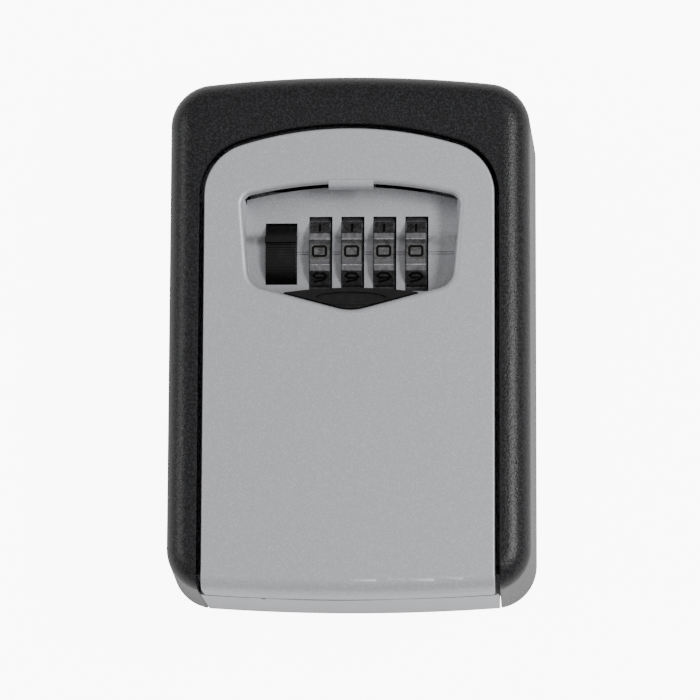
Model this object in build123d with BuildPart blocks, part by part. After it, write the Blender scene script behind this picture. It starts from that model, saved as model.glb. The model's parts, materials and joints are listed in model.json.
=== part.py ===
from build123d import *
import os
from math import atan2, cos, degrees, hypot, radians, sin

# Wall-mounted key lock box with a drop-down door, four number wheels, a thumb release and a shutter.
# Frame: +X to the right seen from the front, -Y out of the wall towards the user, +Z up.
# Origin: centre of the case's back face. "Depth" is the distance in front of the wall, so y = -depth.

# Case outline: straight sides with a slight draft, bowed top and bottom, round corners
CASE_HALF_WIDTH = 42.5
CASE_DRAFT = 1.5
CASE_HALF_HEIGHT = 60.0
CASE_DEPTH = 40.0
BOW_AT = 36.0
TOP_BOW = 2.13
BOTTOM_BOW = 1.39
CORNER_RADIUS = 10.0
FRONT_ROUND = 6.0
SHELL_WALL = 2.5
SHELL_FRONT_DEPTH = 37.0
TRAY_INSET = 2.8
TRAY_WALL = 1.6
TRAY_BACK = 2.0
TRAY_FRONT_DEPTH = 36.8

# Door: arched plate with a bottom lip, hinged just above its bottom edge
DOOR_HALF_WIDTH = 33.05
DOOR_TOP = 46.97
DOOR_ARCH_RADIUS = 81.5
DOOR_ARCH_CORNER = 12.0
DOOR_GAP = 1.1
OPENING_BEVEL = 0.3
DOOR_SKIN_DEPTH = 38.0
DOOR_WALL = 1.8
DOOR_FLANGE_DEPTH = 33.0
DOOR_EDGE_ROUND = 0.5
DOOR_BOTTOM_ROUND = 3.5
LIP_DEPTH = 29.4
STRIP_HALF_WIDTH = 33.9

# Hinge pin along X
PIN_DEPTH = 36.0
PIN_Z = -54.2
PIN_RADIUS = 1.0
PIN_HALF_LENGTH = 36.8
PIN_CLEARANCE = 0.05
KNUCKLE_RADIUS = 2.3
KNUCKLE_FROM = 22.0
KNUCKLE_TO = 32.6
LUG_FROM = 34.4
LIP_SWING_CLEARANCE = 0.4

# Window: shield shape, its centre a little to the right
WINDOW_X = 0.4
WINDOW_TOP = 34.4
WINDOW_TOP_SIDE = 31.3
WINDOW_TOP_HALF = 24.85
WINDOW_LOW_SIDE = 10.83
WINDOW_LOW_HALF = 23.1
WINDOW_TIP = 4.6
TIP_ROUND = 12.0
LOW_CORNER_ROUND = 4.5
TOP_CORNER_ROUND = 2.6
WINDOW_EDGE_ROUND = 1.2
TAB_HALF_WIDTH = 5.1
TAB_ROWS = (33.3, 35.0)
TAB_FRONT_DEPTH = 38.3

# Lock: everything turns about one shaft along X
AXIS_DEPTH = 26.2
AXIS_Z = 19.1
SHAFT_RADIUS = 2.0
SHAFT_HALF_LENGTH = 27.6
LOCK_HALF_WIDTH = 25.8
LOCK_WALL = 1.6
LOCK_BOTTOM = 1.0
LOCK_TOP = 38.2
LOCK_REAR_DEPTH = 15.9
LOCK_FRONT_DEPTH = 28.8
COVER_THICKNESS = 1.5
POST_X = 28.9
POST_ROWS = (4.5, 30.8)
POST_RADIUS = 2.2
POST_BORE_RADIUS = 0.95
SPRING_LEDGE_Z = 23.6
SPRING_LEDGE_THICKNESS = 1.4
LEAF_THICKNESS = 0.35

# Creased plate behind the window
CREST_DEPTH = 33.4
CREASE_SLOPE = 0.1
PLATE_THICKNESS = 1.6
PLATE_HALF_WIDTH = 24.2
PLATE_TOP = 34.9
PLATE_TOP_DROP = 4.8
PLATE_SIDE_TOP = 30.6
INDEX_LINE_OFFSET = 0.26
INDEX_LINE_WIDTH = 0.2
INDEX_LINE_DEPTH = 0.35

# Number wheels
WHEEL_COUNT = 4
WHEEL_FIRST_X = -6.89
WHEEL_PITCH = 7.33
WHEEL_WIDTH = 4.8
WHEEL_FLAT = 9.85
WHEEL_FLAT_HALF = 1.78
WHEEL_VALLEY = 9.5
DIGIT_COUNT = 10
HUB_RADIUS = 4.5
HUB_FLANGE_RADIUS = 5.2
SLOT_SWEEP = 10.75
SLOT_LEFT_GAP = 0.12
SLOT_RIGHT_GAP = 0.38
DIGIT_WIDTH = 2.96
DIGIT_HEIGHT = 2.2
STROKE = 0.54
ENGRAVE_DEPTH = 0.3
INK_THICKNESS = 0.2

# Thumb release
RELEASE_X = -15.75
RELEASE_WIDTH = 6.95
RELEASE_RADIUS = 9.3
RELEASE_SLOT_WIDTH = 7.25
THUMB_BAR_RADIUS = 9.9
THUMB_BAR_WIDTH = 7.3
THUMB_BAR_ANGLE = 17.5
RIB_PITCH = 0.64
RIB_COUNT = 14
PEG_RADIUS_OUT = 4.62
PEG_ANGLE = 12.5
PEG_RADIUS = 0.7

# Latch: a bar with a nose, one fence finger beside each wheel and a fork for the release's peg
BAR_LOW = 31.6
BAR_HIGH = 34.4
BAR_DEPTHS = (24.2, 28.4)
NOSE_TOP = 46.9
LATCH_TRAVEL = 2.0
FINGER_WIDTH = 0.9
FORK_WIDTH = 1.2
FORK_GAP = 0.85
FORK_REACH = 1.9

# Shutter
SHUTTER_REAR_DEPTH = 36.5
SHUTTER_FRONT_DEPTH = 37.7
SHUTTER_HALF_WIDTH = 23.7
SHUTTER_BOTTOM = -19.5
GRIP_DEPTH = 38.9
GRIP_BOTTOM = 0.0
GRIP_CREST = 10.1
GRIP_SIDE = 5.9
GRIP_ARC_HALF = 30.4
GRIP_OVAL_Z = 7.85

# Wall fixing
WALL_HOLE_X = 19.0
WALL_HOLE_Z = 32.0
WALL_HOLE_RADIUS = 2.5
PAD_HOLE_RADIUS = 6.0

# Small fixings of the case and the strike
FIXING_HOLE_RADIUS = 1.15
FIXING_SHANK_RADIUS = 1.1
RIVET_ROWS = (-30.0, 30.0)
RIVET_Y = -18.0
STRIKE_SCREW_XS = (-5.5, 5.5)
STRIKE_SCREW_Y = -30.5
STRIKE_HALF_WIDTH = 9.0
STRIKE_SHELF = (54.1, 55.3)
LUG_RISE = 3.0

# Key notch and slit in the bottom strip
NOTCH_X = -19.5
SLIT_END_X = 9.0
SLIT_Y = -28.6
SLIT_BOW = 1.3

# Code-change slide on the rear cover
RESET_X = 10.0
RESET_Z = 33.6
RESET_TRAVEL = 4.0

WHEEL_XS = [WHEEL_FIRST_X + WHEEL_PITCH * number for number in range(WHEEL_COUNT)]
STRIKE_SCREWS = [(x, STRIKE_SCREW_Y) for x in STRIKE_SCREW_XS]
POSTS = [(side * POST_X, row) for side in (-1, 1) for row in POST_ROWS]
WHEEL_AXIS = (-AXIS_DEPTH, AXIS_Z)
PIN_AXIS = (-PIN_DEPTH, PIN_Z)


def facing(depth):
    """Plane parallel to the wall at a depth, drawn in x and z, extruding towards the user."""
    return Plane.XZ.offset(depth)


def across(x):
    """Plane across the case at x, drawn in y and z, extruding to the right."""
    return Plane.YZ.offset(x)


def save(builder, name):
    """Label one finished piece and write it to its own file."""
    builder.part.label = name
    export_step(builder.part, "parts/" + name + ".step")


def case_outline(depth, inset=0.0):
    """Outline of the case at a depth, pulled in by inset on every side."""
    half = CASE_HALF_WIDTH - CASE_DRAFT * depth / CASE_DEPTH - inset
    top = CASE_HALF_HEIGHT - inset
    top_end = top - TOP_BOW * (half / BOW_AT) ** 2
    low_end = -top + BOTTOM_BOW * (half / BOW_AT) ** 2
    with BuildSketch(facing(depth)) as outline:
        with BuildLine():
            ThreePointArc((-half, top_end), (0, top), (half, top_end))
            Line((half, top_end), (half, low_end))
            ThreePointArc((half, low_end), (0, -top), (-half, low_end))
            Line((-half, low_end), (-half, top_end))
        make_face()
        fillet(outline.vertices(), CORNER_RADIUS - inset)
    return outline.sketch


def case_block(rear, front, inset=0.0, mode=Mode.ADD):
    """Add or cut the case's drafted block between two depths."""
    loft([case_outline(rear, inset), case_outline(front, inset)], mode=mode)


def door_outline(depth, inset=0.0):
    """Outline of the door: arched top with round shoulders, straight sides, bowed bottom."""
    half = DOOR_HALF_WIDTH - inset
    top = DOOR_TOP - inset
    radius = DOOR_ARCH_RADIUS - inset
    shoulder = top - radius + (radius**2 - half**2) ** 0.5
    low = -CASE_HALF_HEIGHT + inset
    low_end = low + BOTTOM_BOW * (half / BOW_AT) ** 2
    with BuildSketch(facing(depth)) as outline:
        with BuildLine():
            ThreePointArc((-half, shoulder), (0, top), (half, shoulder))
            Line((half, shoulder), (half, low_end))
            ThreePointArc((half, low_end), (0, low), (-half, low_end))
            Line((-half, low_end), (-half, shoulder))
        make_face()
        shoulders = outline.vertices().group_by(Axis.Y)[-1]
        fillet(shoulders, DOOR_ARCH_CORNER - inset)
    return outline.sketch


def window_outline(depth, inset=0.0):
    """Shield outline of the window, pulled in by inset."""
    with BuildSketch(facing(depth)) as outline:
        with BuildLine():
            top_left = (WINDOW_X - WINDOW_TOP_HALF, WINDOW_TOP_SIDE)
            top_right = (WINDOW_X + WINDOW_TOP_HALF, WINDOW_TOP_SIDE)
            low_left = (WINDOW_X - WINDOW_LOW_HALF, WINDOW_LOW_SIDE)
            low_right = (WINDOW_X + WINDOW_LOW_HALF, WINDOW_LOW_SIDE)
            ThreePointArc(top_left, (WINDOW_X, WINDOW_TOP), top_right)
            Polyline(top_right, low_right, (WINDOW_X, WINDOW_TIP), low_left, top_left)
        make_face()
        fillet(outline.vertices().group_by(Axis.Y)[0], TIP_ROUND)
        fillet(outline.vertices().group_by(Axis.Y)[-1], TOP_CORNER_ROUND)
        low_corners = [
            corner
            for corner in outline.vertices()
            if abs(corner.Y - WINDOW_LOW_SIDE) < 0.01
        ]
        fillet(low_corners, LOW_CORNER_ROUND)
        if inset:
            offset(amount=-inset, mode=Mode.REPLACE)
    return outline.sketch


def disc(x, centre, radius):
    """Circle on the plane across the case at x, about a centre given in y and z."""
    with BuildSketch(across(x)) as circle:
        with Locations(centre):
            Circle(radius)
    return circle.sketch


def rod(from_x, to_x, centre, radius, mode=Mode.ADD):
    """Add or cut a round bar along X."""
    extrude(disc(from_x, centre, radius), amount=to_x - from_x, mode=mode)


def span(side, near, far):
    """X range between two distances from the middle, on the side given by -1 or 1."""
    return sorted((side * near, side * far))


def slab(x, z, depth, mode=Mode.ADD):
    """Add or cut a rectangular block given by its x, z and depth ranges."""
    with BuildSketch(facing(depth[0])) as face:
        with Locations(((x[0] + x[1]) / 2, (z[0] + z[1]) / 2)):
            Rectangle(x[1] - x[0], z[1] - z[0])
    extrude(face.sketch, amount=depth[1] - depth[0], mode=mode)


def at_angle(radius, angle):
    """Point in y and z at a radius from the wheel axis, the angle counted up from the front."""
    return (-AXIS_DEPTH - radius * cos(radians(angle)), AXIS_Z + radius * sin(radians(angle)))


def sector(x, inner, outer, low, high):
    """Ring sector about the wheel axis between two angles, on the plane across the case at x."""
    middle = (low + high) / 2
    with BuildSketch(across(x)) as ring:
        with BuildLine():
            ThreePointArc(at_angle(outer, low), at_angle(outer, middle), at_angle(outer, high))
            Line(at_angle(outer, high), at_angle(inner, high))
            ThreePointArc(at_angle(inner, high), at_angle(inner, middle), at_angle(inner, low))
            Line(at_angle(inner, low), at_angle(outer, low))
        make_face()
    return ring.sketch


def screw(seat, head_radius, head_height, shank_radius, shank_length):
    """Pan-head screw with a cross recess. The head stands out of its seat plane."""
    with BuildPart(seat) as made:
        with BuildSketch(seat):
            Circle(head_radius)
        extrude(amount=head_height)
        crown = made.faces().sort_by(Axis(seat.origin, seat.z_dir))[-1]
        fillet(crown.edges(), head_height * 0.5)
        with BuildSketch(seat):
            Circle(shank_radius)
        extrude(amount=-shank_length)
        with BuildSketch(seat.offset(head_height)):
            Rectangle(head_radius * 1.1, head_radius * 0.26)
            Rectangle(head_radius * 0.26, head_radius * 1.1)
        extrude(amount=-head_height * 0.6, mode=Mode.SUBTRACT)
    return made


def coil(radius, wire, pitch, height, placed):
    """Helical spring standing on its placed plane."""
    with BuildPart() as made:
        with BuildLine() as path:
            Helix(pitch, height, radius, center=placed.origin, direction=placed.z_dir)
        start = path.wires()[0]
        with BuildSketch(Plane(origin=start @ 0, z_dir=start % 0)):
            Circle(wire)
        sweep(path=start)
    return made


os.makedirs("parts", exist_ok=True)

# ---------------------------------------------------------------- case
TRAY_CAVITY_INSET = TRAY_INSET + TRAY_WALL

# Hollow of the shell, less the two corner lugs that hold the hinge pin
with BuildPart() as shell_hollow:
    case_block(-1, SHELL_FRONT_DEPTH, SHELL_WALL)
    for side in (-1, 1):
        ends = span(side, LUG_FROM, CASE_HALF_WIDTH + 1)
        slab(ends, (-CASE_HALF_HEIGHT, PIN_Z + LUG_RISE), (32.6, 38), Mode.SUBTRACT)

with BuildPart() as outer_shell:
    case_block(0, CASE_DEPTH)
    front_face = outer_shell.faces().sort_by(Axis.Y)[0]
    fillet(front_face.edges(), FRONT_ROUND)
    add(shell_hollow.part, mode=Mode.SUBTRACT)
    extrude(door_outline(SHELL_FRONT_DEPTH - 1, -DOOR_GAP), amount=6, mode=Mode.SUBTRACT)
    gap_half = DOOR_HALF_WIDTH + DOOR_GAP
    slab((-gap_half, gap_half), (-CASE_HALF_HEIGHT - 1, -50), (-1, 41), Mode.SUBTRACT)
    front_face = outer_shell.faces().sort_by(Axis.Y)[0]
    opening_edges = [edge for edge in front_face.edges() if abs(edge.center().X) < gap_half + 0.1]
    opening_edges = [edge for edge in opening_edges if edge.center().Z < DOOR_TOP + DOOR_GAP + 0.1]
    chamfer([edge for edge in opening_edges if edge.center().Z > -50], OPENING_BEVEL)
    for side in (-1, 1):
        ends = span(side, gap_half, PIN_HALF_LENGTH + 0.2)
        rod(*ends, PIN_AXIS, PIN_RADIUS + PIN_CLEARANCE, Mode.SUBTRACT)
        for rivet_z in RIVET_ROWS:
            rod(*span(side, 36, 40.7), (RIVET_Y, rivet_z), FIXING_HOLE_RADIUS, Mode.SUBTRACT)
    with BuildSketch(Plane.XY.offset(50)):
        with Locations(STRIKE_SCREWS):
            Circle(FIXING_HOLE_RADIUS)
    extrude(amount=8.9, mode=Mode.SUBTRACT)
save(outer_shell, "outer_shell")

# Grey tray: back wall, side walls and a bottom that shows as a flush strip between the shell's corners
with BuildPart() as strip_block:
    case_block(0, TRAY_FRONT_DEPTH)
    slab((-50, 50), (-50, 70), (-1, 41), Mode.SUBTRACT)
    slab((-50, -STRIP_HALF_WIDTH), (-70, 70), (-1, 41), Mode.SUBTRACT)
    slab((STRIP_HALF_WIDTH, 50), (-70, 70), (-1, 41), Mode.SUBTRACT)

with BuildPart() as tray_hollow:
    case_block(TRAY_BACK, CASE_DEPTH, TRAY_CAVITY_INSET)

lip_reach = hypot(PIN_DEPTH - LIP_DEPTH, CASE_HALF_HEIGHT + PIN_Z) + LIP_SWING_CLEARANCE
with BuildPart() as inner_box:
    case_block(0, TRAY_FRONT_DEPTH, TRAY_INSET)
    add(strip_block.part)
    add(tray_hollow.part, mode=Mode.SUBTRACT)
    door_room = DOOR_HALF_WIDTH + 1.2
    rod(-door_room, door_room, PIN_AXIS, lip_reach, Mode.SUBTRACT)
    slab((-door_room, door_room), (-62, -50), (PIN_DEPTH, 41), Mode.SUBTRACT)
    for side in (-1, 1):
        slab(span(side, LUG_FROM - 0.3, 45), (-62, PIN_Z + LUG_RISE + 0.3), (32.2, 41), Mode.SUBTRACT)
    with BuildSketch(Plane.XY.offset(-62)):
        with BuildLine():
            slit_start = (NOTCH_X, SLIT_Y)
            slit_end = (SLIT_END_X, SLIT_Y)
            ThreePointArc(slit_start, ((NOTCH_X + SLIT_END_X) / 2, SLIT_Y + SLIT_BOW), slit_end)
            Polyline(slit_end, (SLIT_END_X, SLIT_Y - 1.4), (NOTCH_X, SLIT_Y - 1.4), slit_start)
        make_face()
        with Locations(slit_start):
            Rectangle(1.0, 3.6)
    extrude(amount=4.5, mode=Mode.SUBTRACT)
    with BuildSketch(facing(0)):
        with GridLocations(2 * WALL_HOLE_X, 2 * WALL_HOLE_Z, 2, 2):
            Circle(WALL_HOLE_RADIUS)
    extrude(amount=TRAY_BACK, mode=Mode.SUBTRACT)
    for rivet_z in RIVET_ROWS:
        rod(-45, 45, (RIVET_Y, rivet_z), FIXING_HOLE_RADIUS, Mode.SUBTRACT)
    with BuildSketch(Plane.XY.offset(50)):
        with Locations(STRIKE_SCREWS):
            Circle(FIXING_HOLE_RADIUS)
    extrude(amount=10, mode=Mode.SUBTRACT)
save(inner_box, "inner_box")

with BuildPart() as back_pad:
    with BuildSketch(facing(TRAY_BACK)):
        RectangleRounded(66, 100, 5)
        with GridLocations(2 * WALL_HOLE_X, 2 * WALL_HOLE_Z, 2, 2):
            Circle(PAD_HOLE_RADIUS, mode=Mode.SUBTRACT)
    extrude(amount=1.8)
save(back_pad, "back_pad")

# Bent strike: a lip hanging behind the shell's front rim and a flange under the tray's top wall
with BuildPart() as strike_plate:
    slab((-STRIKE_HALF_WIDTH, STRIKE_HALF_WIDTH), (48.4, STRIKE_SHELF[1]), (35.4, 36.6))
    slab((-STRIKE_HALF_WIDTH, STRIKE_HALF_WIDTH), STRIKE_SHELF, (24.5, 35.4))
    with BuildSketch(Plane.XY.offset(STRIKE_SHELF[0] - 1)):
        with Locations(STRIKE_SCREWS):
            Circle(FIXING_HOLE_RADIUS)
    extrude(amount=4, mode=Mode.SUBTRACT)
save(strike_plate, "strike_plate")

for number, (screw_x, screw_y) in enumerate(STRIKE_SCREWS, start=1):
    shelf = (screw_x, screw_y, STRIKE_SHELF[0])
    underside = Plane(origin=shelf, x_dir=(1, 0, 0), z_dir=(0, 0, -1))
    save(screw(underside, 2.0, 1.2, FIXING_SHANK_RADIUS, 4.6), f"strike_screw_{number}")

rivet_seats = [(side, rivet_z) for side in (-1, 1) for rivet_z in RIVET_ROWS]
for number, (side, rivet_z) in enumerate(rivet_seats, start=1):
    seat_point = (side * 37.3, RIVET_Y, rivet_z)
    inner_wall = Plane(origin=seat_point, x_dir=(0, 1, 0), z_dir=(-side, 0, 0))
    save(screw(inner_wall, 2.2, 1.2, FIXING_SHANK_RADIUS, 3.2), f"shell_rivet_{number}")

with BuildPart() as hinge_pin:
    rod(-PIN_HALF_LENGTH, PIN_HALF_LENGTH, PIN_AXIS, PIN_RADIUS)
    chamfer(hinge_pin.edges(), 0.2)
save(hinge_pin, "hinge_pin")

# ---------------------------------------------------------------- door
with BuildPart() as door_cover:
    extrude(door_outline(LIP_DEPTH), amount=CASE_DEPTH - LIP_DEPTH)
    front_edges = door_cover.faces().sort_by(Axis.Y)[0].edges()
    fillet(front_edges.sort_by(Axis.Z)[0], DOOR_BOTTOM_ROUND)
    round_start = -CASE_DEPTH + DOOR_BOTTOM_ROUND - 0.1
    rim_edges = [
        edge
        for edge in door_cover.edges()
        if edge.center().Y < round_start and (edge.center().Z > 0 or abs(edge.center().X) > 1)
    ]
    fillet(rim_edges, DOOR_EDGE_ROUND)
    hollow_face = door_outline(LIP_DEPTH - 1, DOOR_WALL)
    extrude(hollow_face, amount=DOOR_SKIN_DEPTH - LIP_DEPTH + 1, mode=Mode.SUBTRACT)
    slab((-50, 50), (-56.5, 60), (LIP_DEPTH - 1, DOOR_FLANGE_DEPTH), Mode.SUBTRACT)
    for side in (-1, 1):
        with BuildSketch(across(span(side, KNUCKLE_FROM, KNUCKLE_TO)[0])):
            with Locations(PIN_AXIS):
                Circle(KNUCKLE_RADIUS)
            with Locations((-PIN_DEPTH, PIN_Z - 1.9)):
                Rectangle(2 * KNUCKLE_RADIUS, 3.8)
        extrude(amount=KNUCKLE_TO - KNUCKLE_FROM)
    rod(-40, 40, PIN_AXIS, PIN_RADIUS + PIN_CLEARANCE, Mode.SUBTRACT)
    with BuildSketch(facing(LOCK_REAR_DEPTH)):
        with Locations(POSTS):
            Circle(POST_RADIUS)
            Circle(POST_BORE_RADIUS, mode=Mode.SUBTRACT)
    extrude(amount=DOOR_SKIN_DEPTH - LOCK_REAR_DEPTH)
    extrude(window_outline(DOOR_SKIN_DEPTH - 1), amount=4, mode=Mode.SUBTRACT)
    front_skin = door_cover.faces().sort_by(Axis.Y)[0]
    fillet(front_skin.inner_wires()[0].edges(), WINDOW_EDGE_ROUND)
    tab = (WINDOW_X - TAB_HALF_WIDTH, WINDOW_X + TAB_HALF_WIDTH)
    slab(tab, TAB_ROWS, (DOOR_SKIN_DEPTH, TAB_FRONT_DEPTH))
save(door_cover, "door_cover")

# Creased plate with side walls: the crest runs level with the wheel axis
plate_rows = (LOCK_BOTTOM, AXIS_Z, PLATE_TOP + 0.6)
crease = [(-CREST_DEPTH + CREASE_SLOPE * abs(row - AXIS_Z), row) for row in plate_rows]
with BuildPart() as window_plate:
    with BuildSketch(across(WINDOW_X - PLATE_HALF_WIDTH)):
        with BuildLine():
            Polyline(crease + [(y + PLATE_THICKNESS, z) for y, z in reversed(crease)], close=True)
        make_face()
    extrude(amount=2 * PLATE_HALF_WIDTH)
    for side in (-1, 1):
        wall = sorted((WINDOW_X + side * PLATE_HALF_WIDTH, WINDOW_X + side * LOCK_HALF_WIDTH))
        slab(wall, (LOCK_BOTTOM, PLATE_SIDE_TOP), (LOCK_FRONT_DEPTH, 37.9))
    with BuildSketch(facing(LOCK_FRONT_DEPTH - 1)):
        with BuildLine():
            ends = [(WINDOW_X + side * 30, PLATE_TOP - PLATE_TOP_DROP) for side in (-1, 1)]
            ThreePointArc(ends[0], (WINDOW_X, PLATE_TOP), ends[1])
            Polyline(ends[1], (WINDOW_X + 30, 45), (WINDOW_X - 30, 45), ends[0])
        make_face()
    extrude(amount=12, mode=Mode.SUBTRACT)
    for wheel_x in WHEEL_XS:
        slot_ends = (wheel_x - WHEEL_WIDTH / 2 - SLOT_LEFT_GAP, wheel_x + WHEEL_WIDTH / 2 + SLOT_RIGHT_GAP)
        rod(*slot_ends, WHEEL_AXIS, SLOT_SWEEP, Mode.SUBTRACT)
    slot_left = RELEASE_X - RELEASE_SLOT_WIDTH / 2
    rod(slot_left, slot_left + RELEASE_SLOT_WIDTH, WHEEL_AXIS, RELEASE_RADIUS + 0.35, Mode.SUBTRACT)
    line_ends = (slot_left + RELEASE_SLOT_WIDTH, WINDOW_X + PLATE_HALF_WIDTH - 0.9)
    line_depths = (CREST_DEPTH - INDEX_LINE_DEPTH, CREST_DEPTH + 1)
    for side in (-1, 1):
        middle = AXIS_Z + side * INDEX_LINE_OFFSET
        line_rows = (middle - INDEX_LINE_WIDTH / 2, middle + INDEX_LINE_WIDTH / 2)
        slab(line_ends, line_rows, line_depths, Mode.SUBTRACT)
save(window_plate, "window_plate")

# Black frame: four walls, spring ledges and bores for the wheel shaft
lock_left = WINDOW_X - LOCK_HALF_WIDTH
lock_right = WINDOW_X + LOCK_HALF_WIDTH
lock_depths = (LOCK_REAR_DEPTH, LOCK_FRONT_DEPTH)
with BuildPart() as lock_body:
    slab((lock_left, lock_right), (LOCK_BOTTOM, LOCK_TOP), lock_depths)
    inside = (LOCK_REAR_DEPTH - 1, LOCK_FRONT_DEPTH + 1)
    slab(
        (lock_left + LOCK_WALL, lock_right - LOCK_WALL),
        (LOCK_BOTTOM + LOCK_WALL, LOCK_TOP - LOCK_WALL),
        inside,
        Mode.SUBTRACT,
    )
    slab((WINDOW_X - 5.7, WINDOW_X + 5.7), (36, 39), (25.9, 29.5), Mode.SUBTRACT)
    ledge_rows = (SPRING_LEDGE_Z - SPRING_LEDGE_THICKNESS, SPRING_LEDGE_Z)
    for ledge_ends in ((lock_left + 1, -19.5), (19.6, lock_right - 1)):
        slab(ledge_ends, ledge_rows, (23.6, 28.0))
    rod(-30, 30, WHEEL_AXIS, SHAFT_RADIUS + 0.02, Mode.SUBTRACT)
    with BuildSketch(facing(LOCK_REAR_DEPTH - 1)):
        with Locations((WINDOW_X, LOCK_TOP)):
            Rectangle(2 * LOCK_HALF_WIDTH - 20, 2 * 0.6)
    extrude(amount=6, mode=Mode.SUBTRACT)
save(lock_body, "lock_body")

# Rear cover with four ears and the slot of the code-change slide
cover_depth = LOCK_REAR_DEPTH - COVER_THICKNESS - 0.05
with BuildPart() as lock_cover:
    with BuildSketch(facing(cover_depth)) as cover_face:
        with Locations((WINDOW_X, (LOCK_BOTTOM + LOCK_TOP) / 2)):
            RectangleRounded(2 * LOCK_HALF_WIDTH, LOCK_TOP - LOCK_BOTTOM, 2)
        with Locations([(0, row) for row in POST_ROWS]):
            RectangleRounded(2 * (POST_X + POST_RADIUS), 6.2, 2.2)
        with Locations(POSTS):
            Circle(FIXING_HOLE_RADIUS, mode=Mode.SUBTRACT)
        with Locations((RESET_X + RESET_TRAVEL / 2, RESET_Z)):
            SlotOverall(RESET_TRAVEL + 4.4, 2.8, mode=Mode.SUBTRACT)
    extrude(amount=COVER_THICKNESS)
    with BuildSketch(facing(cover_depth)):
        with Locations((WINDOW_X, 15)):
            RectangleRounded(38, 16, 2)
    extrude(amount=0.4, mode=Mode.SUBTRACT)
save(lock_cover, "lock_cover")

for number, (screw_x, row) in enumerate(POSTS, start=1):
    rear_seat = Plane(origin=(screw_x, -cover_depth, row), x_dir=(1, 0, 0), z_dir=(0, 1, 0))
    save(screw(rear_seat, 2.1, 1.2, 0.9, 8.0), f"cover_screw_{number}")

shaft_left = WINDOW_X - SHAFT_HALF_LENGTH
shaft_right = WINDOW_X + SHAFT_HALF_LENGTH
with BuildPart() as wheel_shaft:
    rod(shaft_left, shaft_right, WHEEL_AXIS, SHAFT_RADIUS)
    chamfer(wheel_shaft.edges(), 0.3)
save(wheel_shaft, "wheel_shaft")

for side_name, clip_x in (("left", lock_left - 0.9), ("right", lock_right + 0.1)):
    with BuildPart() as shaft_clip:
        rod(clip_x, clip_x + 0.8, WHEEL_AXIS, 3.4)
        rod(clip_x, clip_x + 0.8, WHEEL_AXIS, SHAFT_RADIUS + 0.02, Mode.SUBTRACT)
        mouth = (AXIS_DEPTH - 1, AXIS_DEPTH + 1)
        slab((clip_x, clip_x + 0.8), (AXIS_Z - 4, AXIS_Z), mouth, Mode.SUBTRACT)
    save(shaft_clip, "shaft_clip_" + side_name)

wheels_right = WHEEL_XS[-1] + WHEEL_WIDTH / 2 + 1.6
seat_point = (wheels_right + 0.4, -AXIS_DEPTH, AXIS_Z)
spring_seat = Plane(origin=seat_point, x_dir=(0, 1, 0), z_dir=(1, 0, 0))
spring_room = lock_right - LOCK_WALL - 0.4 - wheels_right - 0.4
save(coil(2.8, 0.3, spring_room / 4, spring_room, spring_seat), "shaft_spring")

for side_name, spring_x in (("left", -21.5), ("right", 22.1)):
    seat_point = (spring_x, -25.9, SPRING_LEDGE_Z + 0.3)
    ledge = Plane(origin=seat_point, x_dir=(1, 0, 0), z_dir=(0, 0, 1))
    save(coil(1.6, 0.28, 1.45, 7.25, ledge), "latch_spring_" + side_name)

# Bronze leaf: a strip on the frame's floor with one finger under each wheel
leaf_profile = [(-18.0, 2.9), (-18.8, 6.0), (-24.4, 7.6), (-26.2, 8.5), (-28.0, 7.6)]
with BuildPart() as detent_spring:
    slab((WHEEL_XS[0] - 2.5, WHEEL_XS[-1] + 2.5), (2.65, 2.65 + LEAF_THICKNESS), (17.4, 25.0))
    for wheel_x in WHEEL_XS:
        with BuildSketch(across(wheel_x - 1.5)):
            with BuildLine():
                upper = leaf_profile
                lower = [(y, z - LEAF_THICKNESS) for y, z in reversed(leaf_profile)]
                Polyline(upper + lower, close=True)
            make_face()
        extrude(amount=3.0)
save(detent_spring, "detent_spring")

# ---------------------------------------------------------------- shutter
grip_left = (WINDOW_X - GRIP_ARC_HALF, GRIP_SIDE)
grip_right = (WINDOW_X + GRIP_ARC_HALF, GRIP_SIDE)
with BuildPart() as shutter:
    slab(
        (WINDOW_X - SHUTTER_HALF_WIDTH, WINDOW_X + SHUTTER_HALF_WIDTH),
        (SHUTTER_BOTTOM, 12),
        (SHUTTER_REAR_DEPTH, SHUTTER_FRONT_DEPTH),
    )
    with BuildSketch(facing(SHUTTER_REAR_DEPTH - 1)):
        with BuildLine():
            ThreePointArc(grip_left, (WINDOW_X, GRIP_CREST), grip_right)
            Polyline(grip_right, (grip_right[0], 16), (grip_left[0], 16), grip_left)
        make_face()
    extrude(amount=4, mode=Mode.SUBTRACT)
    with BuildSketch(facing(SHUTTER_FRONT_DEPTH)):
        add(window_outline(SHUTTER_FRONT_DEPTH, 0.35))
        with BuildSketch(facing(SHUTTER_FRONT_DEPTH), mode=Mode.INTERSECT):
            with BuildLine():
                ThreePointArc(grip_left, (WINDOW_X, GRIP_CREST), grip_right)
                low_right = (grip_right[0], GRIP_BOTTOM)
                Polyline(grip_right, low_right, (grip_left[0], GRIP_BOTTOM), grip_left)
            make_face()
    extrude(amount=GRIP_DEPTH - SHUTTER_FRONT_DEPTH)
    with BuildSketch(facing(GRIP_DEPTH)):
        with Locations((WINDOW_X, GRIP_OVAL_Z)):
            Ellipse(8.6, 1.75)
    extrude(amount=0.3)
    with BuildSketch(facing(GRIP_DEPTH + 0.3)):
        with Locations((WINDOW_X, GRIP_OVAL_Z)):
            Ellipse(8.1, 1.3)
    extrude(amount=-0.9, mode=Mode.SUBTRACT)
save(shutter, "shutter")

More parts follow.
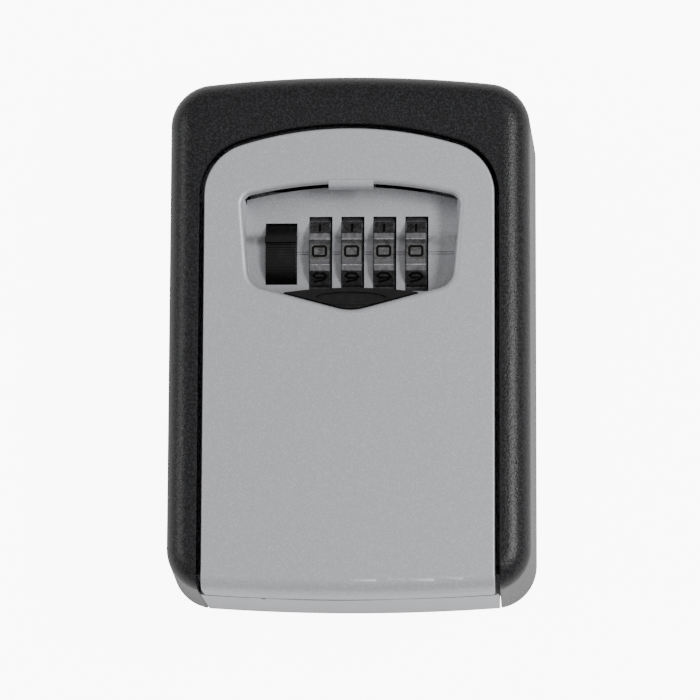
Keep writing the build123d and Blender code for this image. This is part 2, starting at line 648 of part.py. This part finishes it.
# ---------------------------------------------------------------- number wheels
# Strokes of each digit on a unit square, as chains of corner points
ROUND_BOX = [(0.1, 0), (0.9, 0), (1, 0.14), (1, 0.86), (0.9, 1), (0.1, 1), (0, 0.86), (0, 0.14), (0.1, 0)]
DIGIT_STROKES = [
    [ROUND_BOX],
    [[(0.5, 0), (0.5, 1)]],
    [[(0, 0.85), (0.2, 1), (0.8, 1), (1, 0.8), (1, 0.6), (0, 0), (1, 0)]],
    [[(0, 1), (1, 1), (0.5, 0.6), (0.8, 0.6), (1, 0.4), (1, 0.2), (0.8, 0), (0.2, 0), (0, 0.15)]],
    [[(0.7, 0), (0.7, 1), (0, 0.3), (1, 0.3)]],
    [[(1, 1), (0, 1), (0, 0.55), (0.8, 0.6), (1, 0.4), (1, 0.2), (0.8, 0), (0, 0)]],
    [[(0.9, 1), (0.2, 0.75), (0, 0.4), (0.2, 0), (0.8, 0), (1, 0.3), (0.8, 0.55), (0.05, 0.5)]],
    [[(0, 1), (1, 1), (0.4, 0)]],
    [ROUND_BOX, [(0, 0.5), (1, 0.5)]],
    [[(0.1, 0), (0.8, 0.25), (1, 0.6), (0.8, 1), (0.2, 1), (0, 0.7), (0.2, 0.45), (0.95, 0.5)]],
]


def digit_plane(digit, height):
    """Plane on a wheel's flat for one digit, at a height above the axis. Zero faces the user."""
    angle = radians(360 / DIGIT_COUNT * digit)
    outward = (0, -cos(angle), sin(angle))
    origin = (0, -AXIS_DEPTH + height * outward[1], AXIS_Z + height * outward[2])
    return Plane(origin=origin, x_dir=(1, 0, 0), z_dir=outward)


def digit_sketch(digit, height):
    """One digit drawn with round-ended strokes on its flat."""
    with BuildSketch(digit_plane(digit, height)) as glyph:
        for chain in DIGIT_STROKES[digit]:
            for start, end in zip(chain, chain[1:]):
                first = Vector((start[0] - 0.5) * DIGIT_WIDTH, (start[1] - 0.5) * DIGIT_HEIGHT)
                last = Vector((end[0] - 0.5) * DIGIT_WIDTH, (end[1] - 0.5) * DIGIT_HEIGHT)
                run = last - first
                turn = degrees(atan2(run.Y, run.X))
                with Locations((first + last) * 0.5):
                    SlotCenterToCenter(run.length, STROKE, rotation=turn)
    return glyph.sketch


def wheel_outline():
    """Corner points of a wheel: a flat for each digit and a valley between flats."""
    points = []
    for digit in range(DIGIT_COUNT):
        angle = radians(360 / DIGIT_COUNT * digit)
        valley = radians(360 / DIGIT_COUNT * (digit + 0.5))
        for edge in (-WHEEL_FLAT_HALF, WHEEL_FLAT_HALF):
            y = -WHEEL_FLAT * cos(angle) + edge * sin(angle)
            z = WHEEL_FLAT * sin(angle) + edge * cos(angle)
            points.append((y - AXIS_DEPTH, z + AXIS_Z))
        points.append(at_angle(WHEEL_VALLEY, degrees(valley)))
    return points


with BuildPart() as plain_wheel:
    with BuildSketch(across(-WHEEL_WIDTH / 2)):
        with BuildLine():
            Polyline(wheel_outline(), close=True)
        make_face()
    extrude(amount=WHEEL_WIDTH)
    chamfer(plain_wheel.edges().filter_by(Axis.X, reverse=True), 0.22)
    rod(-WHEEL_WIDTH, WHEEL_WIDTH, WHEEL_AXIS, HUB_RADIUS + 0.03, Mode.SUBTRACT)
    for digit in range(DIGIT_COUNT):
        extrude(digit_sketch(digit, WHEEL_FLAT), amount=-ENGRAVE_DEPTH, mode=Mode.SUBTRACT)

with BuildPart() as plain_numerals:
    for digit in range(DIGIT_COUNT):
        extrude(digit_sketch(digit, WHEEL_FLAT - ENGRAVE_DEPTH), amount=INK_THICKNESS)

# Hub: sleeve through the wheel with a gated flange on its right
with BuildPart() as plain_hub:
    rod(-WHEEL_WIDTH / 2 - 0.15, WHEEL_WIDTH / 2 + 0.3, WHEEL_AXIS, HUB_RADIUS)
    rod(WHEEL_WIDTH / 2 + 0.3, WHEEL_WIDTH / 2 + 1.4, WHEEL_AXIS, HUB_FLANGE_RADIUS)
    rod(-WHEEL_WIDTH, WHEEL_WIDTH, WHEEL_AXIS, SHAFT_RADIUS + 0.05, Mode.SUBTRACT)
    gate_x = (WHEEL_WIDTH / 2 + 0.3, WHEEL_WIDTH / 2 + 2)
    gate_z = (AXIS_Z + HUB_FLANGE_RADIUS - 1.1, AXIS_Z + HUB_FLANGE_RADIUS + 1)
    slab(gate_x, gate_z, (AXIS_DEPTH - 1.1, AXIS_DEPTH + 1.1), Mode.SUBTRACT)

for number, wheel_x in enumerate(WHEEL_XS, start=1):
    for name, plain in (("wheel", plain_wheel), ("numerals", plain_numerals), ("hub", plain_hub)):
        with BuildPart() as dial_piece:
            with Locations((wheel_x, 0, 0)):
                add(plain.part)
        save(dial_piece, f"dial_{name}_{number}")

# ---------------------------------------------------------------- thumb release
release_left = RELEASE_X - RELEASE_WIDTH / 2
release_right = RELEASE_X + RELEASE_WIDTH / 2
peg_place = at_angle(PEG_RADIUS_OUT, PEG_ANGLE)

with BuildPart() as release_lever:
    extrude(sector(release_left, SHAFT_RADIUS + 0.05, RELEASE_RADIUS, -56, 80), amount=RELEASE_WIDTH)
    rod(release_left, release_right, WHEEL_AXIS, 3.6)
    rod(release_left - 1, release_right + 1, WHEEL_AXIS, SHAFT_RADIUS + 0.05, Mode.SUBTRACT)
    bar_left = RELEASE_X - THUMB_BAR_WIDTH / 2
    bar_ends = (THUMB_BAR_ANGLE - 4.5, THUMB_BAR_ANGLE + 4)
    extrude(sector(bar_left, RELEASE_RADIUS - 0.1, THUMB_BAR_RADIUS, *bar_ends), amount=THUMB_BAR_WIDTH)
    rib_step = RIB_PITCH / radians(1) / RELEASE_RADIUS
    for rib in range(RIB_COUNT):
        middle = THUMB_BAR_ANGLE - 7.5 - rib * rib_step
        groove = (middle - rib_step / 4, middle + rib_step / 4)
        cut = sector(release_left, RELEASE_RADIUS - 0.25, RELEASE_RADIUS + 0.2, *groove)
        extrude(cut, amount=RELEASE_WIDTH, mode=Mode.SUBTRACT)
    rod(release_right, release_right + 2.0, peg_place, PEG_RADIUS)
save(release_lever, "release_lever")

# ---------------------------------------------------------------- latch
finger_rows = (AXIS_Z + HUB_FLANGE_RADIUS + LATCH_TRAVEL + 0.4, BAR_LOW + 0.1)
fork = (release_right + 0.6, release_right + 0.6 + FORK_WIDTH)
with BuildPart() as latch_slider:
    slab((lock_left + 2.0, lock_right - 2.0), (BAR_LOW, BAR_HIGH), BAR_DEPTHS)
    slab((WINDOW_X - 5.2, WINDOW_X + 5.2), (BAR_LOW, NOSE_TOP), (26.3, BAR_DEPTHS[1]))
    slab((WINDOW_X - 2.0, WINDOW_X + 2.0), (40.5, NOSE_TOP + 1), (26, 29), Mode.SUBTRACT)
    nose_tips = latch_slider.edges().filter_by(Axis.X).group_by(Axis.Z)[-1].sort_by(Axis.Y)
    chamfer(nose_tips[-2:], 1.2)
    for wheel_x in WHEEL_XS:
        finger = wheel_x + WHEEL_WIDTH / 2 + 0.4
        slab((finger, finger + FINGER_WIDTH), finger_rows, (25.2, 27.2))
    slab(fork, (peg_place[1] - FORK_REACH, BAR_LOW + 0.1), (28.4, 29.4))
    slab(fork, (BAR_LOW, BAR_HIGH), (28.3, 29.4))
    slab(fork, (peg_place[1] + FORK_GAP, peg_place[1] + FORK_REACH), (28.4, 31.0))
    slab(fork, (peg_place[1] - FORK_REACH, peg_place[1] - FORK_GAP), (28.4, 31.0))
save(latch_slider, "latch_slider")

# ---------------------------------------------------------------- code-change slide
with BuildPart() as reset_lever:
    with BuildSketch(facing(cover_depth - 1.9)):
        with Locations((RESET_X, RESET_Z)):
            RectangleRounded(4.6, 4.4, 1.0)
    extrude(amount=1.7)
    for ridge in (-1.2, 0, 1.2):
        slab(
            (RESET_X + ridge - 0.25, RESET_X + ridge + 0.25),
            (RESET_Z - 1.6, RESET_Z + 1.6),
            (cover_depth - 2.3, cover_depth - 1.9),
        )
    with BuildSketch(facing(cover_depth - 0.3)):
        with Locations((RESET_X, RESET_Z)):
            Rectangle(2.6, 2.2)
    extrude(amount=COVER_THICKNESS + 1.2)
    slab((RESET_X - 2.5, RESET_X + 2.5), (RESET_Z - 2.0, RESET_Z + 2.0), (16.2, 18.0))
save(reset_lever, "reset_lever")
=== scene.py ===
import json
from math import cos, pi, radians, sin

import bpy
from mathutils import Matrix, Vector


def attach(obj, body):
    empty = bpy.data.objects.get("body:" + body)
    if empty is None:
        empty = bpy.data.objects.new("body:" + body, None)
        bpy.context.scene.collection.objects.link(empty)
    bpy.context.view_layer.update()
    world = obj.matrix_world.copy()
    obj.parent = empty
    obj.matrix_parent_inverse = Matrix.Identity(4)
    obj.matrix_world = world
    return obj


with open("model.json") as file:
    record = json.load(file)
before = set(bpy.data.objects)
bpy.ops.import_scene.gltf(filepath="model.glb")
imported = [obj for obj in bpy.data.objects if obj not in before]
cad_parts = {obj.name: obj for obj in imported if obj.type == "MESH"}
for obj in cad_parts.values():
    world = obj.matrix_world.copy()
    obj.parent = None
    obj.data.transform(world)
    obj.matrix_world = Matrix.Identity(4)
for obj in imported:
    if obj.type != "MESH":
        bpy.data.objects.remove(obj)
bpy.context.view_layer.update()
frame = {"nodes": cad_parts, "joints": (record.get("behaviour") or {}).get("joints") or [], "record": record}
nodes = frame["nodes"]

# ---------------------------------------------------------------- places on the box, in metres
wheel_joint = next(joint for joint in frame["joints"] if joint["name"] == "dial_1_spin")
_, WHEEL_AXIS_Y, WHEEL_AXIS_Z = wheel_joint["pos_m"]
DIGIT_COUNT = 10
PAINTED_SHADE_Z = 0.0226  # height of the band of painted shade across the window plate, above the line that marks the code

# The rolled lip is a quarter disc drawn out sideways, with its rear face just inside the door's tab.
LIP_MIDDLE_X = 0.0004
LIP_HALF_WIDTH = 0.0051
LIP_TOP_Z = 0.0349
LIP_REAR_Y = -0.0380
LIP_RADIUS = 0.0019
LIP_STEPS = 10

# ---------------------------------------------------------------- camera
CAMERA_AZIMUTH = radians(2.44)
CAMERA_ELEVATION = radians(-9.57)
CAMERA_ROLL = radians(0.245)
CAMERA_DISTANCE = 1.004
CAMERA_TARGET = Vector((-0.0005, -0.020, -0.001055))
SENSOR_WIDTH = 36.0
LENS = 223.7


def make_camera():
    """Long-lens camera a little below the box and almost square to its front."""
    back = Vector(
        (
            sin(CAMERA_AZIMUTH) * cos(CAMERA_ELEVATION),
            -cos(CAMERA_AZIMUTH) * cos(CAMERA_ELEVATION),
            sin(CAMERA_ELEVATION),
        )
    )
    level_right = (-back).cross(Vector((0, 0, 1))).normalized()
    level_up = level_right.cross(-back)
    right = cos(CAMERA_ROLL) * level_right + sin(CAMERA_ROLL) * level_up
    up = -sin(CAMERA_ROLL) * level_right + cos(CAMERA_ROLL) * level_up
    data = bpy.data.cameras.new("camera")
    data.lens = LENS
    data.sensor_width = SENSOR_WIDTH
    data.clip_start = 0.01
    camera = bpy.data.objects.new("camera", data)
    turn = Matrix((right, up, back)).transposed().to_4x4()
    camera.matrix_world = Matrix.Translation(CAMERA_TARGET + back * CAMERA_DISTANCE) @ turn
    bpy.context.collection.objects.link(camera)
    bpy.context.scene.camera = camera


make_camera()


# ---------------------------------------------------------------- light
CENTRE = Vector((0, -0.02, 0))
AMBIENT_STRENGTH = 0.47
# name: azimuth and elevation in degrees, distance, width and height in metres, radiance
SOFT_BOXES = {
    "right_strip": (38, 1, 1.1, 0.26, 0.55, 17.0),
    "left_strip": (-60, 2, 1.0, 0.12, 0.6, 9.0),
}


def area_light(name, azimuth, elevation, distance, width, height, radiance):
    """Soft box aimed at the key box. Degrees: the azimuth counts to the right of the front."""
    turn = radians(azimuth)
    rise = radians(elevation)
    away = Vector((sin(turn) * cos(rise), -cos(turn) * cos(rise), sin(rise)))
    data = bpy.data.lights.new(name, "AREA")
    data.shape = "RECTANGLE"
    data.size = width
    data.size_y = height
    data.energy = radiance * pi * width * height
    light = bpy.data.objects.new(name, data)
    aim = (-away).to_track_quat("-Z", "Y")
    light.matrix_world = Matrix.Translation(CENTRE + away * distance) @ aim.to_matrix().to_4x4()
    bpy.context.collection.objects.link(light)


def make_world():
    """Even white light from all round."""
    world = bpy.data.worlds.new("studio")
    world.use_nodes = True
    background = world.node_tree.nodes["Background"]
    background.inputs["Color"].default_value = (1.0, 1.0, 1.0, 1)
    background.inputs["Strength"].default_value = AMBIENT_STRENGTH
    bpy.context.scene.world = world


make_world()
for light_name, settings in SOFT_BOXES.items():
    area_light(light_name, *settings)


# ---------------------------------------------------------------- material kit
def new_material(name):
    """A material with its node tree and shader."""
    material = bpy.data.materials.new(name)
    material.use_nodes = True
    tree = material.node_tree
    return material, tree, tree.nodes["Principled BSDF"]


def add_node(tree, kind, **values):
    """A node with some of its inputs or properties set by name."""
    node = tree.nodes.new(kind)
    for key, value in values.items():
        if key in node.inputs:
            node.inputs[key].default_value = value
        else:
            setattr(node, key, value)
    return node


def object_space(tree):
    """Object coordinates, in metres, so a pattern keeps to its piece when a joint moves."""
    return add_node(tree, "ShaderNodeTexCoord").outputs["Object"]


def noise(tree, space, scale, detail=2.0, roughness=0.5):
    """Cloudy value. The scale is in features per metre."""
    node = add_node(tree, "ShaderNodeTexNoise", Scale=scale, Detail=detail, Roughness=roughness)
    tree.links.new(space, node.inputs["Vector"])
    return node.outputs["Fac"]


def ramp(tree, source, low, high, low_value=0.0, high_value=1.0):
    """Clamped linear map of a value."""
    node = add_node(tree, "ShaderNodeMapRange")
    node.clamp = True
    node.inputs["From Min"].default_value = low
    node.inputs["From Max"].default_value = high
    node.inputs["To Min"].default_value = low_value
    node.inputs["To Max"].default_value = high_value
    tree.links.new(source, node.inputs["Value"])
    return node.outputs["Result"]


def mix_colour(tree, factor, first, second):
    """Mix of two colours, each a constant or a socket."""
    node = add_node(tree, "ShaderNodeMix", data_type="RGBA")
    tree.links.new(factor, node.inputs["Factor"])
    for socket, value in (("A", first), ("B", second)):
        target = [i for i in node.inputs if i.name == socket and i.type == "RGBA"][0]
        if isinstance(value, bpy.types.NodeSocket):
            tree.links.new(value, target)
        else:
            target.default_value = (*value, 1)
    return [o for o in node.outputs if o.type == "RGBA"][0]


def bump(tree, shader, height, strength, distance):
    """Fine relief on the shader's surface."""
    node = add_node(tree, "ShaderNodeBump", Strength=strength, Distance=distance)
    tree.links.new(height, node.inputs["Height"])
    tree.links.new(node.outputs["Normal"], shader.inputs["Normal"])


def math_node(tree, operation, first, second=None):
    """One sum: each value is a constant or a socket."""
    node = add_node(tree, "ShaderNodeMath", operation=operation)
    for place, value in enumerate((first, second)):
        if isinstance(value, bpy.types.NodeSocket):
            tree.links.new(value, node.inputs[place])
        elif value is not None:
            node.inputs[place].default_value = value
    return node.outputs["Value"]


def flakes(tree, space, scale, share):
    """Scattered flakes: 1 on the given share of cells."""
    cells = add_node(tree, "ShaderNodeTexVoronoi", Scale=scale, feature="F1")
    tree.links.new(space, cells.inputs["Vector"])
    split = add_node(tree, "ShaderNodeSeparateColor")
    tree.links.new(cells.outputs["Color"], split.inputs["Color"])
    return ramp(tree, split.outputs["Red"], 1 - share, 1 - share * 0.5)


# ---------------------------------------------------------------- materials
def powder_coat():
    """Black powder coat with a fine pebbled grain and faint pale specks."""
    material, tree, shader = new_material("black_shell")
    space = object_space(tree)
    grain = noise(tree, space, 2000, 3.0, 0.6)
    broad = noise(tree, space, 60, 2.0)
    specks = flakes(tree, space, 3600, 0.22)
    dark = mix_colour(tree, broad, (0.004, 0.004, 0.005), (0.008, 0.008, 0.009))
    pebbles = mix_colour(tree, ramp(tree, grain, 0.46, 0.68), dark, (0.026, 0.026, 0.029))
    colour = mix_colour(tree, specks, pebbles, (0.030, 0.030, 0.033))
    tree.links.new(colour, shader.inputs["Base Color"])
    shader.inputs["Specular IOR Level"].default_value = 0.34
    tree.links.new(ramp(tree, grain, 0.3, 0.7, 0.24, 0.38), shader.inputs["Roughness"])
    bump(tree, shader, grain, 0.8, 0.00012)
    return material


def silver_paint(name="silver_paint"):
    """Fine-grained metallic silver paint."""
    material, tree, shader = new_material(name)
    space = object_space(tree)
    grain = noise(tree, space, 2100, 3.0, 0.65)
    fine = flakes(tree, space, 4200, 0.3)
    broad = noise(tree, space, 35, 3.0)
    base = mix_colour(tree, broad, (0.53, 0.538, 0.565), (0.555, 0.562, 0.59))
    colour = mix_colour(tree, fine, base, (0.64, 0.645, 0.665))
    tree.links.new(colour, shader.inputs["Base Color"])
    shader.inputs["Metallic"].default_value = 0.5
    tree.links.new(ramp(tree, grain, 0.3, 0.7, 0.42, 0.54), shader.inputs["Roughness"])
    bump(tree, shader, grain, 0.3, 0.00009)
    return material


def plate_silver_with_painted_shade():
    """The silver paint of the plate, with painted shade: a patchy dark band across the plate above the line
    that marks the code, and its lower part painted darker.
    """
    material = silver_paint("plate_paint_painted_shade")
    tree = material.node_tree
    shader = tree.nodes["Principled BSDF"]
    unshaded_colour = shader.inputs["Base Color"].links[0].from_socket
    space = object_space(tree)
    split = add_node(tree, "ShaderNodeSeparateXYZ")
    tree.links.new(space, split.inputs["Vector"])
    height = math_node(tree, "SUBTRACT", split.outputs["Z"], PAINTED_SHADE_Z)
    # painted shade on the plate: a patchy dark band beside the knob and wheels, and the lower part painted
    # darker
    painted_shade_band = ramp(tree, math_node(tree, "ABSOLUTE", height), 0.0003, 0.0019, 1.0, 0.0)
    painted_shade_below = ramp(tree, height, -0.0008, 0.0011, 0.20, 0.0)
    painted_shade_patches = ramp(tree, noise(tree, space, 260, 3.0, 0.6), 0.36, 0.60, 0.10, 0.58)
    painted_shade = math_node(tree, "ADD", math_node(tree, "MULTIPLY", painted_shade_band, painted_shade_patches), painted_shade_below)
    tree.links.new(mix_colour(tree, painted_shade, unshaded_colour, (0.10, 0.10, 0.10)), shader.inputs["Base Color"])
    return material


def moulded_black():
    """Satin black moulding with a faint texture."""
    material, tree, shader = new_material("black_plastic")
    space = object_space(tree)
    grain = noise(tree, space, 5200, 2.0)
    scuff = noise(tree, space, 420, 4.0, 0.7)
    scuffed = ramp(tree, scuff, 0.55, 0.75)
    colour = mix_colour(tree, scuffed, (0.003, 0.003, 0.003), (0.010, 0.010, 0.010))
    tree.links.new(colour, shader.inputs["Base Color"])
    shader.inputs["Specular IOR Level"].default_value = 0.36
    tree.links.new(ramp(tree, scuff, 0.3, 0.7, 0.30, 0.5), shader.inputs["Roughness"])
    bump(tree, shader, grain, 0.2, 0.00003)
    return material


def wheel_step(tree, space):
    """Where a point lies between two digits: 0 on a digit, 0.5 in the valley between."""
    split = add_node(tree, "ShaderNodeSeparateXYZ")
    tree.links.new(space, split.inputs["Vector"])
    rise = math_node(tree, "SUBTRACT", split.outputs["Z"], WHEEL_AXIS_Z)
    reach = math_node(tree, "SUBTRACT", WHEEL_AXIS_Y, split.outputs["Y"])
    turns = math_node(tree, "MULTIPLY", math_node(tree, "ARCTAN2", rise, reach), DIGIT_COUNT / (2 * pi))
    return math_node(tree, "PINGPONG", math_node(tree, "ADD", turns, DIGIT_COUNT), 0.5)


def nickel_with_painted_light():
    """Nickel of the number wheels: painted shade on the digit pads, painted light on the valley slopes, a
    painted highlight line along each valley, and random smudges.
    """
    material, tree, shader = new_material("wheel_metal")
    space = object_space(tree)
    smudge = noise(tree, space, 900, 4.0, 0.7)
    stretch = add_node(tree, "ShaderNodeMapping")
    stretch.inputs["Scale"].default_value = (6.0, 1.0, 1.0)
    tree.links.new(space, stretch.inputs["Vector"])
    lines = noise(tree, stretch.outputs["Vector"], 900, 2.0)
    step = wheel_step(tree, space)
    # painted shade on the digit pads and painted light on the valley slopes: darker and lighter copies of
    # one nickel
    shaded_pad_colour = mix_colour(tree, ramp(tree, smudge, 0.35, 0.65), (0.10, 0.098, 0.095), (0.27, 0.27, 0.27))
    lit_slope_colour = mix_colour(tree, ramp(tree, smudge, 0.35, 0.65), (0.19, 0.19, 0.195), (0.33, 0.33, 0.345))
    faces = mix_colour(tree, ramp(tree, step, 0.28, 0.31), shaded_pad_colour, lit_slope_colour)
    # painted highlight: a broken bright line along the bottom of each valley between digits
    highlight_breaks = ramp(tree, noise(tree, space, 1500, 2.0), 0.38, 0.58, 0.25, 1.0)
    painted_highlight = math_node(tree, "MULTIPLY", ramp(tree, step, 0.476, 0.492), highlight_breaks)
    colour = mix_colour(tree, painted_highlight, faces, (0.92, 0.92, 0.93))
    tree.links.new(colour, shader.inputs["Base Color"])
    shader.inputs["Metallic"].default_value = 0.85
    tree.links.new(ramp(tree, smudge, 0.3, 0.7, 0.10, 0.26), shader.inputs["Roughness"])
    bump(tree, shader, lines, 0.2, 0.00002)
    return material


def plain_metal(name, dark, light, roughness_low, roughness_high, scale):
    """Bare or plated metal with streaks and varied gloss."""
    material, tree, shader = new_material(name)
    space = object_space(tree)
    cloud = noise(tree, space, scale, 4.0, 0.65)
    tree.links.new(mix_colour(tree, cloud, dark, light), shader.inputs["Base Color"])
    shader.inputs["Metallic"].default_value = 1.0
    gloss = ramp(tree, cloud, 0.3, 0.7, roughness_low, roughness_high)
    tree.links.new(gloss, shader.inputs["Roughness"])
    bump(tree, shader, noise(tree, space, scale * 4, 2.0), 0.15, 0.00003)
    return material


def ink():
    """Black paint wiped into the engraved numerals."""
    material, tree, shader = new_material("numeral_ink")
    space = object_space(tree)
    cloud = noise(tree, space, 3000, 2.0)
    colour = mix_colour(tree, cloud, (0.0008, 0.0008, 0.0008), (0.003, 0.003, 0.003))
    tree.links.new(colour, shader.inputs["Base Color"])
    shader.inputs["Roughness"].default_value = 0.6
    shader.inputs["Specular IOR Level"].default_value = 0.1
    return material


def foam():
    """Closed-cell foam: fine cells and slight colour change."""
    material, tree, shader = new_material("foam")
    space = object_space(tree)
    cells = add_node(tree, "ShaderNodeTexVoronoi", Scale=1500, feature="F1")
    tree.links.new(space, cells.inputs["Vector"])
    cloud = noise(tree, space, 150, 3.0)
    colour = mix_colour(tree, cloud, (0.020, 0.020, 0.021), (0.038, 0.038, 0.040))
    tree.links.new(colour, shader.inputs["Base Color"])
    shader.inputs["Roughness"].default_value = 0.9
    bump(tree, shader, cells.outputs["Distance"], 0.6, 0.00025)
    return material


BACKDROP_GLOW_AROUND = 0.26  # emission that lights the box
BACKDROP_GLOW_SEEN = 9.0  # emission where the camera looks at the paper


def backdrop_paper():
    """Pale paper that is bright where the camera sees it and gives the box little light."""
    material, tree, shader = new_material("backdrop_paper")
    space = object_space(tree)
    cloud = noise(tree, space, 3.0, 3.0)
    colour = mix_colour(tree, cloud, (0.90, 0.90, 0.90), (0.94, 0.94, 0.94))
    tree.links.new(colour, shader.inputs["Base Color"])
    shader.inputs["Roughness"].default_value = 0.9
    shader.inputs["Emission Color"].default_value = (1.0, 1.0, 1.0, 1)
    seen = add_node(tree, "ShaderNodeLightPath").outputs["Is Camera Ray"]
    glow = ramp(tree, seen, 0.0, 1.0, BACKDROP_GLOW_AROUND, BACKDROP_GLOW_SEEN)
    tree.links.new(glow, shader.inputs["Emission Strength"])
    return material


MATERIALS = {
    "black_shell": powder_coat(),
    "silver_paint": silver_paint(),
    "black_plastic": moulded_black(),
    "wheel_metal": nickel_with_painted_light(),
    "numeral_ink": ink(),
    "foam": foam(),
    "steel": plain_metal("steel", (0.42, 0.42, 0.43), (0.60, 0.60, 0.60), 0.22, 0.38, 500),
    "bronze": plain_metal("bronze", (0.40, 0.24, 0.10), (0.58, 0.38, 0.18), 0.25, 0.4, 400),
}
BLACKENED_STEEL = plain_metal(
    "blackened_steel", (0.010, 0.010, 0.011), (0.022, 0.022, 0.024), 0.35, 0.55, 500
)


def dress(obj, material):
    """Gives a piece one material in place of what it had."""
    obj.data.materials.clear()
    obj.data.materials.append(material)


for entry in frame["record"]["subparts"]:
    dress(nodes[entry["node"]], MATERIALS[entry["material_slot"]])
# the window plate gets silver paint with painted shade
dress(nodes["window_plate"], plate_silver_with_painted_shade())
dress(nodes["hinge_pin"], BLACKENED_STEEL)


# ---------------------------------------------------------------- piece added to the door
def add_mesh(name, points, faces, body, slot):
    """A flat-shaded mesh piece that rides on a body."""
    mesh = bpy.data.meshes.new(name)
    mesh.from_pydata(points, [], faces)
    mesh.validate()
    piece = bpy.data.objects.new(name, mesh)
    bpy.context.collection.objects.link(piece)
    dress(piece, MATERIALS[slot])
    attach(piece, body)


def rolled_lip():
    """The window rim rolls down over the plate in the middle of its top edge."""
    points = []
    faces = []
    for side in (-1, 1):
        x = LIP_MIDDLE_X + side * LIP_HALF_WIDTH
        points.append((x, LIP_REAR_Y, LIP_TOP_Z))
        for step in range(LIP_STEPS + 1):
            turn = pi / 2 * step / LIP_STEPS
            y = LIP_REAR_Y - LIP_RADIUS * cos(turn)
            z = LIP_TOP_Z - LIP_RADIUS * sin(turn)
            points.append((x, y, z))
    count = LIP_STEPS + 2
    for step in range(count):
        following = (step + 1) % count
        faces.append((step, following, count + following, count + step))
    faces.append(tuple(reversed(range(count))))
    faces.append(tuple(range(count, 2 * count)))
    add_mesh("rim_lip", points, faces, "door", "silver_paint")


rolled_lip()


# ---------------------------------------------------------------- backdrop
BACKDROP_HALF = 1.2
BACKDROP_GAP = 0.0006


def make_backdrop():
    """Flat pale wall just behind the box, much wider than the view. It hides the box from behind."""
    mesh = bpy.data.meshes.new("backdrop")
    corners = []
    for across, up in ((-1, -1), (1, -1), (1, 1), (-1, 1)):
        corners.append((across * BACKDROP_HALF, BACKDROP_GAP, up * BACKDROP_HALF))
    mesh.from_pydata(corners, [], [(0, 1, 2, 3)])
    wall = bpy.data.objects.new("backdrop", mesh)
    bpy.context.collection.objects.link(wall)
    dress(wall, backdrop_paper())


make_backdrop()
